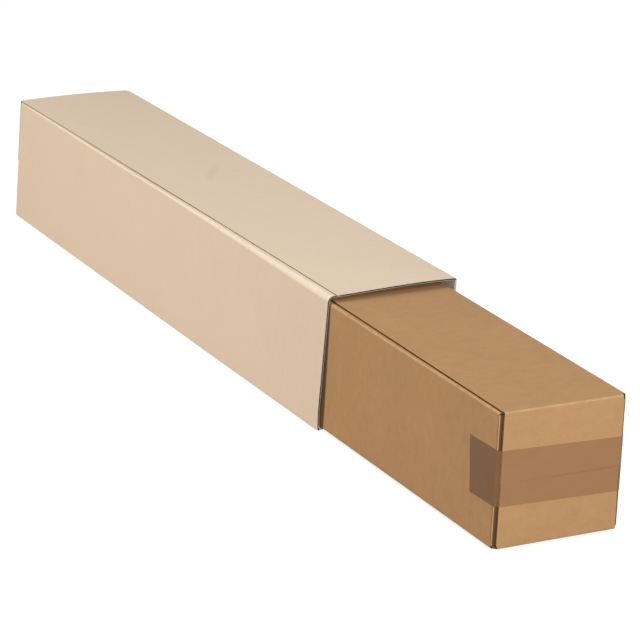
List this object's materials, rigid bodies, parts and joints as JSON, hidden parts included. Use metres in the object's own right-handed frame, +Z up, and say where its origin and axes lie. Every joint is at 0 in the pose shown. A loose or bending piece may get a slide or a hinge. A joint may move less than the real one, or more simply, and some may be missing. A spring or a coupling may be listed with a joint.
{
  "type": "square telescopic mailing tube",
  "caption": "Square telescopic mailing tube of corrugated board: a kraft tube with a taped, folded end slides in a pale sleeve, to pack rolled sheets at a length that can be set.",
  "frame": {"origin": "middle of the outer sleeve's underside, where it rests", "axes": "+X along the tube towards the taped end, +Z up, -Y towards the side panel beside the glued joint"},
  "size_m": [1.0002, 0.1338, 0.129],
  "materials": {
    "pale_board": "pale matt liner",
    "kraft_board": "matt kraft liner",
    "brown_tape": "brown packing tape with a low sheen"
  },
  "bodies": {
    "sleeve": {"outer_sleeve": "pale_board"},
    "tube": {"inner_tube": "kraft_board", "end_tape": "brown_tape"}
  },
  "joints": [
    {"name": "tube_slide", "type": "slide", "parent": "sleeve", "child": "tube", "axis": [1, 0, 0], "range_m": [-0.2865, 0.55]}
  ]
}
